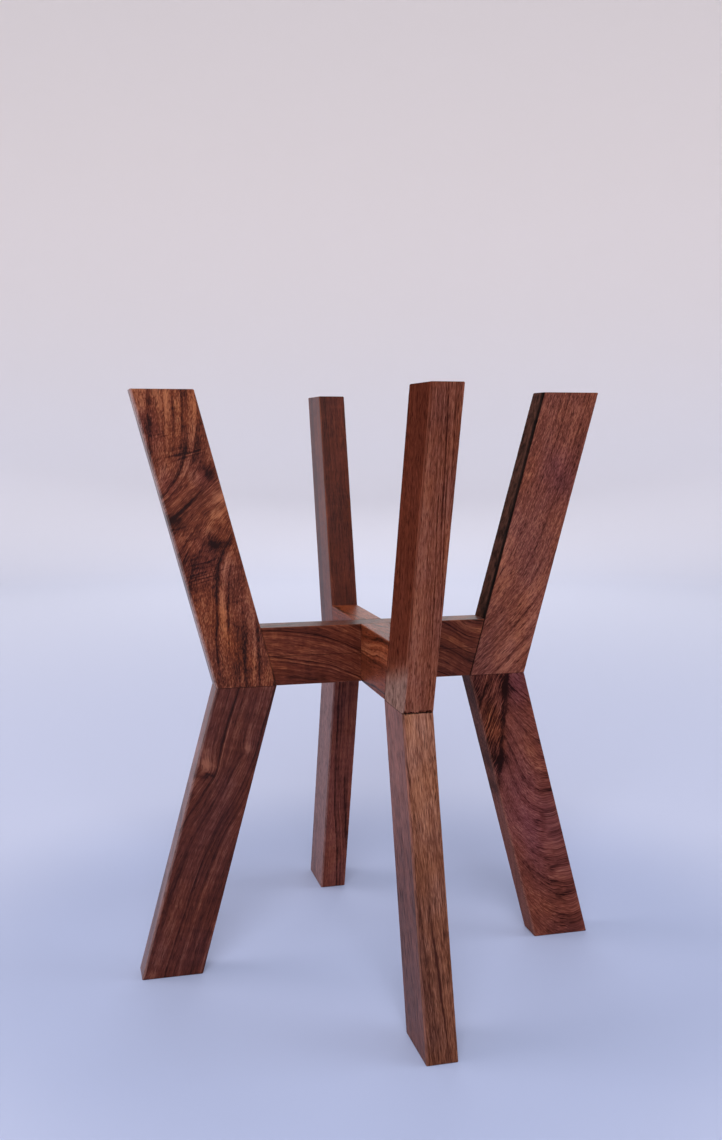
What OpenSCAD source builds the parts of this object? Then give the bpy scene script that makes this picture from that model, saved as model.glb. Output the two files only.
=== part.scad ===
// Plant stand of walnut boards. Four legs stand in a cross, each made of an upper and a lower
// board that meet at a horizontal seam and lean outwards from it. Two rails, half-lapped at
// the middle, butt against the upper boards and carry the pot. Hidden dowels pin every joint.
// The origin is on the floor, under the middle of the cross. Z points up, and the front leg
// points towards -Y.

/* [Stand] */
// Height from the floor to the tops of the legs
stand_h = 457; // [400:1:560]
// Height of the seam between the lower and upper legs, which is also the underside of the rails
seam_h = 228.5; // [190:0.5:280]
// Distance from the middle of the stand to the outer edge of a leg at the seam
seam_reach = 127; // [110:1:150]
// Distance from the middle to the outer edges of the feet and of the tops
leg_reach = 188; // [160:1:220]

/* [Boards] */
// Width of a leg where it is cut level, at the foot, the seam and the top
leg_w = 47.6; // [45:0.1:60]
// Thickness of the leg boards
leg_t = 23; // [18:0.5:30]
// Height of the cross rails
rail_h = 46; // [42:1:60]
// Thickness of the cross rails
rail_t = 23; // [18:0.5:30]
// Width of the bevel that eases the sharp edges
ease = 1; // [0.4:0.1:2]

/* [Dowels] */
// Diameter of the dowels
dowel_d = 8; // [6:0.5:10]
// Length of the dowels
dowel_l = 30; // [24:1:32]
// Bevel at both ends of a dowel
dowel_bevel = 1; // [0.5:0.1:1.5]
// Number of glue flutes along a dowel
flutes = 12; // [8:1:16]
// Radius of a glue flute
flute_r = 0.5; // [0.3:0.1:0.6]
// Distance from the outer edge of a leg to the first dowel in the seam
seam_dowel_edge = 10; // [8:0.5:12]
// Distance between the two dowels in a seam
seam_dowel_pitch = 14; // [12:0.5:15]
// Distance up the rail's end from its lower corner to the first dowel
rail_dowel_edge = 14; // [12:0.5:16]
// Distance between the two dowels in a rail's end
rail_dowel_pitch = 18; // [12:0.5:20]
// Length of a rail dowel that stands in the leg
rail_dowel_bite = 12; // [10:0.5:14]

/* [Clearances] */
// Glue room round a dowel
dowel_fit = 0.1; // [0.05:0.05:0.3]
// Glue room past each end of a dowel
dowel_end_room = 1; // [0.5:0.5:2]
// Room at each cheek of the half lap
lap_fit = 0.1; // [0:0.05:0.3]

/* [Hidden] */
// The sides of the stand, in steps of 90 degrees from +X
sides = ["right", "back", "left", "front"];
seam_rows = ["outer", "inner"];
rail_rows = ["lower", "upper"];
// Tones of the upper and lower leg boards, in the order of the sides
upper_tones = ["#7f4c3e", "#6f4235", "#6e4233", "#7d4837"];
lower_tones = ["#6e3f33", "#62392e", "#57312a", "#96694f"];

// Angle at which a board leans outwards as it rises, or drops, from the seam
function lean(rise) = atan((leg_reach - seam_reach) / rise);
upper_lean = lean(stand_h - seam_h);
// Distance from the middle to the inner edge of a leg at the seam, where the rails end
rail_reach = seam_reach - leg_w;
// Depth of each half of the lap
lap_depth = rail_h / 2;
// How far cutters run past the wood that they cut
overrun = 10;
bore_d = dowel_d + 2 * dowel_fit;

// Cross-section of a board with its four long edges eased
function eased_section(w, t) = [
    [-w / 2 + ease, -t / 2], [w / 2 - ease, -t / 2],
    [w / 2, -t / 2 + ease], [w / 2, t / 2 - ease],
    [w / 2 - ease, t / 2], [-w / 2 + ease, t / 2],
    [-w / 2, t / 2 - ease], [-w / 2, -t / 2 + ease]
];

// Outline that cuts a board level at a height above the seam, and eases the edges of that cut
// where they lie half a width either side of the middle
function eased_cut(middle, half_w, rise) = [
    [middle - half_w + ease, rise], [middle + half_w - ease, rise],
    [middle + half_w - ease + rise, 0], [middle - half_w + ease - rise, 0]
];

// A leg board on the +X side, with its seam end at z = 0, leaning outwards up to z = rise
module leaning_board(rise) {
    board_w = leg_w * cos(lean(rise));
    intersection() {
        translate([seam_reach, 0, 0])
            rotate([0, lean(rise), 0])
                translate([-board_w / 2, 0, -leg_w])
                    linear_extrude(rise / cos(lean(rise)) + 2 * leg_w)
                        polygon(eased_section(board_w, leg_t));
        rotate([90, 0, 0])
            linear_extrude(leg_t + overrun, center = true)
                polygon(eased_cut(leg_reach - leg_w / 2, leg_w / 2, rise));
        rotate([90, 0, 90])
            linear_extrude(leg_reach + overrun)
                polygon(eased_cut(0, leg_t / 2, rise));
    }
}

// Puts what stands on the +X side at the given step round the stand
module at_side(step) {
    rotate([0, 0, 90 * step]) children();
}

// Puts a dowel or its bore in the seam, upright, with z = 0 at the dowel's lower end
module at_seam_dowel(row) {
    translate([seam_reach - seam_dowel_edge - row * seam_dowel_pitch, 0, seam_h - dowel_l / 2])
        children();
}

// Puts a dowel or its bore across the joint of leg and rail, square to its slanted face, with
// z = 0 at the dowel's end in the rail
module at_rail_dowel(row) {
    along = rail_dowel_edge + row * rail_dowel_pitch;
    translate([rail_reach + along * sin(upper_lean), 0, seam_h + along * cos(upper_lean)])
        rotate([0, 90 + upper_lean, 0])
            translate([0, 0, rail_dowel_bite - dowel_l])
                children();
}

// Bore for a dowel, with glue room past both ends
module dowel_bore() {
    translate([0, 0, -dowel_end_room])
        cylinder(d = bore_d, h = dowel_l + 2 * dowel_end_room, $fn = 48);
}

// Fluted dowel with bevelled ends
module dowel() {
    difference() {
        rotate_extrude($fn = 48)
            polygon([
                [0, 0], [dowel_d / 2 - dowel_bevel, 0], [dowel_d / 2, dowel_bevel],
                [dowel_d / 2, dowel_l - dowel_bevel], [dowel_d / 2 - dowel_bevel, dowel_l],
                [0, dowel_l]
            ]);
        for (flute = [0 : flutes - 1])
            rotate([0, 0, 360 * flute / flutes])
                translate([dowel_d / 2, 0, -overrun / 2])
                    cylinder(r = flute_r, h = dowel_l + overrun, $fn = 16);
    }
}

module upper_leg(step) {
    color(upper_tones[step])
        at_side(step)
            difference() {
                translate([0, 0, seam_h]) leaning_board(stand_h - seam_h);
                for (row = [0, 1]) {
                    at_seam_dowel(row) dowel_bore();
                    at_rail_dowel(row) dowel_bore();
                }
            }
}

module lower_leg(step) {
    color(lower_tones[step])
        at_side(step)
            difference() {
                translate([0, 0, seam_h]) mirror([0, 0, 1]) leaning_board(seam_h);
                for (row = [0, 1]) at_seam_dowel(row) dowel_bore();
            }
}

// Rail along X, from its underside at z = 0, with its ends cut to the slope of the legs
module plain_rail() {
    top_reach = rail_reach + rail_h * tan(upper_lean);
    intersection() {
        rotate([90, 0, 0])
            linear_extrude(rail_t + overrun, center = true)
                polygon([[-rail_reach, 0], [rail_reach, 0], [top_reach, rail_h], [-top_reach, rail_h]]);
        translate([-top_reach - overrun, 0, rail_h / 2])
            rotate([90, 0, 90])
                linear_extrude(2 * (top_reach + overrun))
                    polygon(eased_section(rail_t, rail_h));
    }
}

// Rail with its lap notch cut upwards from z = notch_from, and bores at both ends
module cross_rail(notch_from) {
    notch_w = rail_t + 2 * lap_fit;
    difference() {
        translate([0, 0, seam_h]) plain_rail();
        translate([-notch_w / 2, -rail_t, seam_h + notch_from])
            cube([notch_w, 2 * rail_t, lap_depth + overrun]);
        for (step = [0, 2], row = [0, 1])
            at_side(step) at_rail_dowel(row) dowel_bore();
    }
}

// Rail from left to right, notched from below, so it lies over the other one
module cross_rail_left_right() {
    color("#74463a") cross_rail(-overrun);
}

// Rail from front to back, notched from above
module cross_rail_front_back() {
    color("#6a3f33") at_side(1) cross_rail(lap_depth);
}

module seam_dowel(step, row) {
    color("#d9bd8c") at_side(step) at_seam_dowel(row) dowel();
}

module rail_dowel(step, row) {
    color("#d9bd8c") at_side(step) at_rail_dowel(row) dowel();
}

for (step = [0 : 3]) {
    lower_leg(step);
    upper_leg(step);
    for (row = [0, 1]) {
        seam_dowel(step, row);
        rail_dowel(step, row);
    }
}
cross_rail_left_right();
cross_rail_front_back();
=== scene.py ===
import math
import bmesh
import bpy
from mathutils import Matrix, Vector, noise


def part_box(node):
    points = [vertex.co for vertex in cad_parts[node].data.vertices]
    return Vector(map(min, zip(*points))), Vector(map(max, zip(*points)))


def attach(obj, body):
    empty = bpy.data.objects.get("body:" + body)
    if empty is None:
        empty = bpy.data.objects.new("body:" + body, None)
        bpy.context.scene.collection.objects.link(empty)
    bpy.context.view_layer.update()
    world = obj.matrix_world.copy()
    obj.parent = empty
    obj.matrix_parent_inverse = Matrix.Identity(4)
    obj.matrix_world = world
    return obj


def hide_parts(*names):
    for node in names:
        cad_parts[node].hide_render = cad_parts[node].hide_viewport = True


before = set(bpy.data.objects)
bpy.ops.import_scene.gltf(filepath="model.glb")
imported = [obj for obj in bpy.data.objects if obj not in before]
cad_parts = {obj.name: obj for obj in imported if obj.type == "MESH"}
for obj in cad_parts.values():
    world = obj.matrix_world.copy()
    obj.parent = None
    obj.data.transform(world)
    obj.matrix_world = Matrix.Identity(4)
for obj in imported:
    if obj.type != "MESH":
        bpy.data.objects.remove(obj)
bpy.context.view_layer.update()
print("frame loaded:", len(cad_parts), "nodes")

sides = ["right", "back", "left", "front"]  # a quarter turn apart, from +X
upperLow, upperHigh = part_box("upper_leg_right")
railLow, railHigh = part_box("cross_rail_left_right")
seamHeight = upperLow.z
standHeight = upperHigh.z
seamInner = upperLow.x  # inner edge of a leg at the seam, where the rails end
boardThickness = upperHigh.y - upperLow.y
railThickness = railHigh.y - railLow.y
railHeight = railHigh.z - railLow.z
near = 1e-5  # metres; a point this close to a line or a face counts as being on it


def quarterTurn(step):
    return math.pi / 2 * step


def outwardAt(step):
    # the direction from the middle of the stand to the leg on that side
    return Matrix.Rotation(quarterTurn(step), 3, "Z") @ Vector((1, 0, 0))


cameraSettings = {
    "place": (-0.2426, -0.9112, 0.4249),
    "lookDown": 6.60,  # degrees below level
    "turn": -14.395,  # degrees, to the right of +Y
    "lens": 37.57,  # mm
    "frameHeight": 36,  # mm
    "farthest": 50,
}


def addCamera():
    bpy.ops.object.camera_add(location=cameraSettings["place"])
    camera = bpy.context.object
    camera.name = "photoCamera"
    camera.rotation_euler.x = math.radians(90 - cameraSettings["lookDown"])
    camera.rotation_euler.z = math.radians(cameraSettings["turn"])
    camera.data.sensor_fit = "VERTICAL"
    camera.data.sensor_height = cameraSettings["frameHeight"]
    camera.data.lens = cameraSettings["lens"]
    camera.data.clip_end = cameraSettings["farthest"]
    bpy.context.scene.camera = camera


def addNode(tree, kind, **settings):
    node = tree.nodes.new(kind)
    for key, value in settings.items():
        setattr(node, key, value)
    return node


def plug(tree, socket, value):
    # links a socket to another one, or gives it a fixed value
    if isinstance(value, bpy.types.NodeSocket):
        tree.links.new(value, socket)
    else:
        socket.default_value = value


def calc(tree, operation, *values):
    node = addNode(tree, "ShaderNodeMath", operation=operation)
    for socket, value in zip(node.inputs, values):
        plug(tree, socket, value)
    return node.outputs[0]


def multiply(tree, first, second):
    return calc(tree, "MULTIPLY", first, second)


def scaleAdd(tree, value, factor, rest):
    return calc(tree, "MULTIPLY_ADD", value, factor, rest)


def hypotenuse(tree, first, second):
    return calc(tree, "SQRT", scaleAdd(tree, first, first, multiply(tree, second, second)))


def span(tree, value, fromLow, fromHigh):
    # a smooth step from 0 to 1
    node = addNode(tree, "ShaderNodeMapRange", interpolation_type="SMOOTHSTEP")
    plug(tree, node.inputs["Value"], value)
    plug(tree, node.inputs["From Min"], fromLow)
    plug(tree, node.inputs["From Max"], fromHigh)
    return node.outputs["Result"]


def softStep(tree, value, middle, softness):
    # a step from -1 to 1 that never quite ends
    return calc(tree, "TANH", scaleAdd(tree, value, 1 / softness, -middle / softness))


def addRamp(tree, value, stops):
    # a colour for each value, from pairs of place and colour
    ramp = addNode(tree, "ShaderNodeValToRGB")
    elements = ramp.color_ramp.elements
    while len(elements) < len(stops):
        elements.new(0.5)
    for element, (place, colour) in zip(elements, stops):
        element.position, element.color = place, colour
    plug(tree, ramp.inputs[0], value)
    return ramp


studio = {
    "floorRadius": 2.6,
    "rimCorners": 128,
    "sweepRadius": 1.2,  # curve between floor and wall
    "sweepSteps": 12,
    "wallHeight": 1.8,
    # tones of the paper, each from a distance from the stand: painted shade makes it darker and bluer near
    # the stand, and painted light makes it paler and warmer up the wall
    "paper": (
        (0.25, (0.38, 0.445, 0.665, 1)),
        (0.5, (0.495, 0.55, 0.75, 1)),
        (2.4, (0.64, 0.685, 0.84, 1)),
        (3.4, (0.82, 0.83, 0.93, 1)),
        (4.1, (0.85, 0.80, 0.80, 1)),
    ),
    "paperRoughness": 0.9,
    "skyColour": (0.97, 0.98, 1.0, 1),
    "skyStrength": 0.41,
    "lampSize": 2.0,
    "lampDistance": 2.6,
    "lampTurn": -15,  # degrees between a lamp and the leg on its side
    "lampHeights": (1.5, 1.5, 1.5, 2.1),  # right, back, left and front
    "lampPowers": (19, 14, 31, 70),
    "lampTones": ((1, 0.97, 0.95), (1, 0.97, 0.95), (1, 0.88, 0.80), (1, 0.97, 0.95)),
    "paintedShadeUnderLamps": (0, 0, 0.42, 0.5),  # painted shade: how much darker the paper is below each lamp, to even out its pool of light
    "shadeReach": 1.9,
}


def lampPlace(step):
    turn = quarterTurn(step) + math.radians(studio["lampTurn"])
    reach = studio["lampDistance"]
    return Vector((reach * math.cos(turn), reach * math.sin(turn), studio["lampHeights"][step]))


def paperWithPaintedShade():
    # painted shade and light: its tone changes with the distance from the stand, darker near it and paler
    # up the wall, and it is darker below the lamps to even out their pools of light
    paper = bpy.data.materials.new("paperWithPaintedShade")
    paper.use_nodes = True
    tree = paper.node_tree
    shader = tree.nodes["Principled BSDF"]
    shader.inputs["Roughness"].default_value = studio["paperRoughness"]
    place = addNode(tree, "ShaderNodeTexCoord").outputs["Object"]
    away = addNode(tree, "ShaderNodeVectorMath", operation="LENGTH")
    plug(tree, away.inputs[0], place)
    farthest = studio["paper"][-1][0]
    share = calc(tree, "DIVIDE", away.outputs["Value"], farthest)
    ramp = addRamp(tree, share, [(distance / farthest, tone) for distance, tone in studio["paper"]])
    ramp.color_ramp.interpolation = "EASE"
    tone = ramp.outputs[0]
    # painted shade: the paper is dimmed below each lamp
    for step, shade in enumerate(studio["paintedShadeUnderLamps"]):
        fromLamp = addNode(tree, "ShaderNodeVectorMath", operation="DISTANCE")
        plug(tree, fromLamp.inputs[0], place)
        plug(tree, fromLamp.inputs[1], lampPlace(step).xy.to_3d())
        outside = span(tree, fromLamp.outputs["Value"], 0, studio["shadeReach"])
        dimmer = addNode(tree, "ShaderNodeVectorMath", operation="SCALE")
        plug(tree, dimmer.inputs[0], tone)
        plug(tree, dimmer.inputs["Scale"], scaleAdd(tree, outside, shade, 1 - shade))
        tone = dimmer.outputs[0]
    plug(tree, shader.inputs["Base Color"], tone)
    return paper


def addFloor():
    # a round floor whose rim is drawn up into a wall, so it is seamless from every side
    bpy.ops.object.select_all(action="DESELECT")
    bpy.ops.mesh.primitive_circle_add(
        vertices=studio["rimCorners"], radius=studio["floorRadius"], fill_type="NGON"
    )
    floor = bpy.context.object
    floor.name = "studioFloor"
    bpy.ops.object.mode_set(mode="EDIT")
    bpy.ops.mesh.select_all(action="SELECT")
    bpy.ops.mesh.normals_make_consistent(inside=False)
    bpy.ops.mesh.select_all(action="DESELECT")
    bpy.ops.mesh.select_mode(type="EDGE")
    bpy.ops.mesh.select_non_manifold()
    bend = studio["sweepRadius"]
    rims = []
    for step in range(1, studio["sweepSteps"] + 1):
        angle = math.pi / 2 * step / studio["sweepSteps"]
        rims.append((studio["floorRadius"] + bend * math.sin(angle), bend * (1 - math.cos(angle))))
    rims.append((rims[-1][0], bend + studio["wallHeight"]))
    radius, height = studio["floorRadius"], 0
    for newRadius, newHeight in rims:
        bpy.ops.mesh.extrude_edges_move()
        wider = newRadius / radius
        bpy.ops.transform.resize(value=(wider, wider, 1), center_override=(0, 0, height))
        bpy.ops.transform.translate(value=(0, 0, newHeight - height))
        radius, height = newRadius, newHeight
    bpy.ops.object.mode_set(mode="OBJECT")
    bpy.ops.object.shade_smooth()
    floor.data.materials.append(paperWithPaintedShade())


def addSoftLight(name, place, target, power, colour):
    bpy.ops.object.light_add(type="AREA", location=place)
    light = bpy.context.object
    light.name = name
    light.data.shape = "DISK"
    light.data.size = studio["lampSize"]
    light.data.energy = power
    light.data.color = colour
    light.visible_camera = False
    light.rotation_euler = (Vector(target) - Vector(place)).to_track_quat("-Z", "Y").to_euler()


def addLights():
    # one lamp on each side, the strongest in front, and a pale sky over the open top
    middle = (0, 0, standHeight / 2)
    for step, side in enumerate(sides):
        power, tone = studio["lampPowers"][step], studio["lampTones"][step]
        addSoftLight("lamp_" + side, lampPlace(step), middle, power, tone)
    world = bpy.data.worlds.new("paleStudio")
    bpy.context.scene.world = world
    world.use_nodes = True
    sky = world.node_tree.nodes["Background"]
    sky.inputs["Color"].default_value = studio["skyColour"]
    sky.inputs["Strength"].default_value = studio["skyStrength"]
    bpy.context.scene.view_settings.view_transform = "Standard"


addCamera()
addFloor()
addLights()
print("camera, floor and lights placed")


def addBlock(name, low, high):
    # a plain block between two corners, left in edit mode with nothing selected
    bpy.ops.object.select_all(action="DESELECT")
    middle = [(a + b) / 2 for a, b in zip(low, high)]
    size = [b - a for a, b in zip(low, high)]
    bpy.ops.mesh.primitive_cube_add(size=1, location=middle, scale=size)
    block = bpy.context.object
    block.name = name
    bpy.ops.object.transform_apply(location=True, rotation=True, scale=True)
    bpy.ops.object.mode_set(mode="EDIT")
    bpy.ops.mesh.select_all(action="DESELECT")
    return block


def pick(part, kind, wanted):
    # selects the verts, edges or faces that pass a test of their place
    bpy.ops.mesh.select_mode(type=kind[:-1].upper())
    bpy.ops.mesh.select_all(action="DESELECT")
    shape = bmesh.from_edit_mesh(part.data)
    for item in getattr(shape, kind):
        if wanted(item):
            item.select_set(True)
    bmesh.update_edit_mesh(part.data)


def middleOf(edge):
    return (edge.verts[0].co + edge.verts[1].co) / 2


def directionOf(edge):
    return (edge.verts[1].co - edge.verts[0].co).normalized()


def turnToSide(part, step):
    bpy.ops.object.select_all(action="DESELECT")
    part.select_set(True)
    part.rotation_euler.z = quarterTurn(step)
    bpy.ops.object.transform_apply(location=True, rotation=True, scale=True)


def cutAway(part, cutter):
    change = part.modifiers.new("cut", "BOOLEAN")
    change.operation = "DIFFERENCE"
    change.solver = "EXACT"
    change.object = cutter
    bpy.context.view_layer.objects.active = part
    bpy.ops.object.modifier_apply(modifier=change.name)
    bpy.data.objects.remove(cutter)


dowelBore = {
    "diameter": 0.008,
    "length": 0.030,
    "fit": 0.0001,  # glue room all round, and past each end
    "endRoom": 0.001,
    "corners": 32,
}


def boreFor(dowelNode, direction):
    # a cutter for the hole of one dowel
    low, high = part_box(dowelNode)
    bpy.ops.mesh.primitive_cylinder_add(
        vertices=dowelBore["corners"],
        radius=dowelBore["diameter"] / 2 + dowelBore["fit"],
        depth=dowelBore["length"] + 2 * dowelBore["endRoom"],
        location=(low + high) / 2,
        rotation=direction.to_track_quat("Z", "Y").to_euler(),
    )
    return bpy.context.object


smoothAngle = math.radians(35)  # edges with a sharper turn than this stay sharp


def finishBoard(part, node, material):
    bpy.ops.object.select_all(action="DESELECT")
    part.select_set(True)
    bpy.context.view_layer.objects.active = part
    bpy.ops.object.shade_smooth_by_angle(angle=smoothAngle)
    even = part.modifiers.new("even", "WEIGHTED_NORMAL")
    even.keep_sharp = True
    bpy.ops.object.modifier_apply(modifier=even.name)
    part.data.materials.clear()
    part.data.materials.append(material)
    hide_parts(node)
    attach(part, "root")


def joinAxes(tree, axes, sizes, seed):
    # a point for a noise whose grains have these sizes along the three axes
    node = addNode(tree, "ShaderNodeCombineXYZ")
    for socket, axis, size in zip(node.inputs, axes, sizes):
        plug(tree, socket, scaleAdd(tree, axis, 1 / size, seed))
    return node.outputs[0]


def centred(tree, value):
    # a noise from about 0.2 to 0.8 spread to about -1 to 1
    return scaleAdd(tree, value, 3.2, -1.6)


def cloud(tree, axes, sizes, seed=0.0, detail=1.0, roughness=0.5):
    node = addNode(tree, "ShaderNodeTexNoise", noise_dimensions="3D")
    plug(tree, node.inputs["Vector"], joinAxes(tree, axes, sizes, seed))
    node.inputs["Scale"].default_value = 1
    node.inputs["Detail"].default_value = detail
    node.inputs["Roughness"].default_value = roughness
    return centred(tree, node.outputs["Fac"])


def cloudAlong(tree, value, size, seed=0.0, detail=1.0):
    node = addNode(tree, "ShaderNodeTexNoise", noise_dimensions="1D")
    plug(tree, node.inputs["W"], scaleAdd(tree, value, 1 / size, seed))
    node.inputs["Scale"].default_value = 1
    node.inputs["Detail"].default_value = detail
    return centred(tree, node.outputs["Fac"])


def hump(tree, value, middle, half):
    # a smooth hump, 1 at the middle and near 0 beyond twice its half width
    off = scaleAdd(tree, value, 1 / half, -middle / half)
    return calc(tree, "EXPONENT", multiply(tree, multiply(tree, off, off), -0.8))


def spot(tree, u, w, place, halves):
    return multiply(tree, hump(tree, u, place[0], halves[0]), hump(tree, w, place[1], halves[1]))


def mixValues(tree, amount, first, second):
    node = addNode(tree, "ShaderNodeMix")
    plug(tree, node.inputs[0], amount)
    plug(tree, node.inputs[2], first)
    plug(tree, node.inputs[3], second)
    return node.outputs[0]


def blend(tree, amount, first, second, kind="MIX"):
    node = addNode(tree, "ShaderNodeMix", data_type="RGBA", blend_type=kind)
    plug(tree, node.inputs[0], amount)
    plug(tree, node.inputs[6], first)
    plug(tree, node.inputs[7], second)
    return node.outputs[2]


def paint(red, green, blue):
    # a screen colour from 0 to 255 as a linear one
    levels = [level / 255 for level in (red, green, blue)]
    linear = [level / 12.92 if level < 0.04045 else ((level + 0.055) / 1.055) ** 2.4 for level in levels]
    return (*linear, 1)


def dimmed(tone, factor):
    return tuple(min(1, factor * part) for part in tone[:3]) + (1,)


def emptyMaterial(name):
    material = bpy.data.materials.new(name)
    material.use_nodes = True
    material.node_tree.nodes.clear()
    return material


def woodAxes(tree, origin, across, along):
    # places in the wood's own axes, in mm: u across it, v through it and w along its grain
    place = addNode(tree, "ShaderNodeMapping", vector_type="TEXTURE")
    place.inputs["Location"].default_value = origin
    turn = Matrix((across, along.cross(across), along)).transposed()
    place.inputs["Rotation"].default_value = turn.to_euler()
    place.inputs["Scale"].default_value = (0.001, 0.001, 0.001)
    plug(tree, place.inputs["Vector"], addNode(tree, "ShaderNodeTexCoord").outputs["Object"])
    split = addNode(tree, "ShaderNodeSeparateXYZ")
    plug(tree, split.inputs[0], place.outputs[0])
    return tuple(split.outputs)


def woodShader(tree, colour, roughness, relief, bumpStrength, bumpDepth):
    shader = addNode(tree, "ShaderNodeBsdfPrincipled")
    plug(tree, shader.inputs["Base Color"], colour)
    plug(tree, shader.inputs["Roughness"], roughness)
    bump = addNode(tree, "ShaderNodeBump")
    bump.inputs["Strength"].default_value = bumpStrength
    bump.inputs["Distance"].default_value = bumpDepth
    plug(tree, bump.inputs["Height"], relief)
    plug(tree, shader.inputs["Normal"], bump.outputs[0])
    output = addNode(tree, "ShaderNodeOutputMaterial")
    plug(tree, output.inputs[0], shader.outputs[0])
    return shader


walnutFigure = {
    "tones": ((38, 14, 10), (84, 38, 27), (134, 76, 50)),  # dark, middle and light, as screen colours
    "across": 1.0,  # how much the ring lines count across the board, through it and along it
    "through": 0.35,
    "along": 0.0,
    "dive": 0.0,  # how steeply the rings run through the board, from its low side of v
    "arch": None,  # (middle across, bend, shift, height, softness): nested arches, shifted at a height
    "heart": 160,  # distance to the heart of the tree, in mm
    "wander": (2.5, 0.8),  # slow and quick wander of the lines, in mm
    "sweeps": [],  # (shift, height, softness): where lines slide across the board
    "knots": [],  # (push, across, height, half width, half height): lines pass round it
    "ringWidth": 4.0,
    "rings": 0.45,  # the shares of the figure in light and dark, from here to "curl" and "blotches"
    "bands": 0.30,
    "bandWidth": 13,
    "streaks": 0.22,
    "streakWidth": 1.7,
    "streakLength": 50,
    "grain": 0.20,
    "grainWidth": 0.8,
    "grainLength": 5.5,
    "pores": 0.6,
    "poreLength": 8,
    "curl": 0.08,
    "blotches": 0.12,
    "lines": [],  # (ring coordinate, half width, tone, height, half height)
    "blots": [],  # (across, height, half width, half height, tone)
    "wrinkles": [],  # (across, height, half width, half height, strength)
    "shadeGradient": None,  # (tone, height, softness): painted shade, one end darker than the other
    "crotch": None,  # two ends of the dark band that bounds a crotch, and its half width
    "innerDark": 0.0,  # how far the inner edge is darkened: bare weathered wood, and painted shade
    "plum": [],  # (across, height, half width, half height): where the wood is more purple
    "gold": [],  # the same, where it is more golden
    "paintedLightWashes": [],  # (face, amount, tint, from height, to height, slope): painted light on one face, a pale tint for a painted reflection, a dark one for painted shade and a warm one for warmer light
    "hue": 0.8,  # how far the wood turns from orange to plum and back
    "rubAndHighlight": 0.25,  # how pale the long edges are: rubbed wear, and a painted highlight
    "seamTear": 0.0,  # how far the chips along the seam reach, in mm
    "wax": 0.45,
    "gloss": 0.04,
    "dullness": 0.42,
    "seed": 0.0,
}

# sizes across, through and along the wood in mm, then seed, detail and roughness
walnutClouds = {
    "slowWander": ((36, 36, 70), 0, 1, 0.5),
    "quickWander": ((11, 11, 26), 7, 1, 0.5),
    "crotchEdge": ((9, 9, 14), 11, 2, 0.5),
    "curl": ((20, 20, 4.2), 13, 2, 0.5),
    "wrinkles": ((16, 16, 1.7), 17, 2, 0.5),
    "blotches": ((17, 17, 26), 20, 3, 0.6),
    "blotShakeAcross": ((8, 8, 9), 23, 3, 0.6),
    "blotShakeAlong": ((8, 8, 9), 29, 3, 0.6),
    "hue": ((24, 24, 42), 31, 2, 0.5),
    "lineBreaks": ((5, 5, 17), 37, 2, 0.5),
    "seamChips": ((1.2, 1.2, 3), 41, 2, 0.5),
    "cracks": ((9, 5, 8), 43, 4, 0.7),
    "bandBreaks": ((6, 6, 9), 47, 3, 0.6),
}

walnutPatches = {  # where a cloud becomes a patch from 0 to 1
    "wrinkles": (-0.1, 0.8),
    "hue": (-0.8, 0.8),
    "lineBreaks": (-1.9, 0.3),
    "cracks": (-0.8, 0.9),
    "bandBreaks": (-1.3, 0.5),
}

walnutFinish = {
    "orangeAndPlum": ((1.10, 0.99, 0.82, 1), (0.95, 0.95, 1.10, 1)),  # the ends of the change of hue
    "spotTints": {"plum": (0.88, 0.80, 1.20, 1), "gold": (1.10, 1.04, 0.74, 1)},
    "spotAmount": 0.55,
    "washStreaks": (0.45, 1.6),  # a painted-light wash is darker and lighter than its tint by these, with the grain
    "blotShake": (4.5, 3.5),  # how ragged the blots are, in mm across and along
    "unevenYears": 0.6,  # how far the rings differ in width
    "lateWood": (0.2, 0.92),  # the part of a year in which its ring darkens
    "yearEnd": (1.0, 0.94),  # the part in which it ends
    "faintYears": 1.4,  # the higher, the more of the rings are faint
    "poreWidth": 0.6,
    "poreLimits": (0.34, 0.62),
    "poreRoughness": 0.18,
    "streakRoughness": 0.04,
    "endRoughness": 0.15,
    "bareRoughness": 0.5,
    "glueLine": (0.45, 0.15),  # mm from the seam: where it starts, and where it is full
    "glueAmount": 0.6,
    # the chips are near black: torn end grain, and painted shade in the gaps of the open seam
    "chipTone": (14, 8, 7),
    "chipAmount": 0.9,
    "chipShake": 1.6,  # how ragged the chips along the seam are, in mm
    "chipEdge": (2.4, 1.2),  # mm from the outer edge: where the chips start, and where they are full
    "endFacing": (0.75, 0.95),  # how squarely a face cuts the grain: where end grain starts, and is full
    "endAmount": 0.5,
    "edgeRubAndHighlight": (1.2, 0.3),  # mm from a long edge: where the pale wear and painted highlight starts, and where it is full
    "innerEdge": (1.3, 0.5),  # the same for the weathered inner edge
    "shadeLine": (5.5, 3),  # the same for a painted shade line along it, from the low side of v
    "shadeLineAmount": 0.85,
    "crackTones": ((6, 4, 4), (86, 54, 44)),  # of the darkened inner edge, in its cracks and between them: weathered wood and painted shade
    "waxRoughness": 0.30,
    "waxIor": 1.25,
    "bumpStrength": 0.4,
    "bumpDepth": 0.0002,
}

crotchFigure = {
    "raggedness": 1.6,  # of its edge, in mm
    "softness": 1.5,
    "lineDirection": (1.36, 0.5),  # how much its ring lines count across the band and along the board
    "bandTone": -0.46,
    "streakTone": 0.52,
    "tone": -0.12,
}


def walnutCloud(tree, axes, look, kind):
    sizes, seed, detail, roughness = walnutClouds[kind]
    return cloud(tree, axes, sizes, look["seed"] + seed, detail, roughness)


def walnutPatch(tree, axes, look, kind):
    return span(tree, walnutCloud(tree, axes, look, kind), *walnutPatches[kind])


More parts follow.
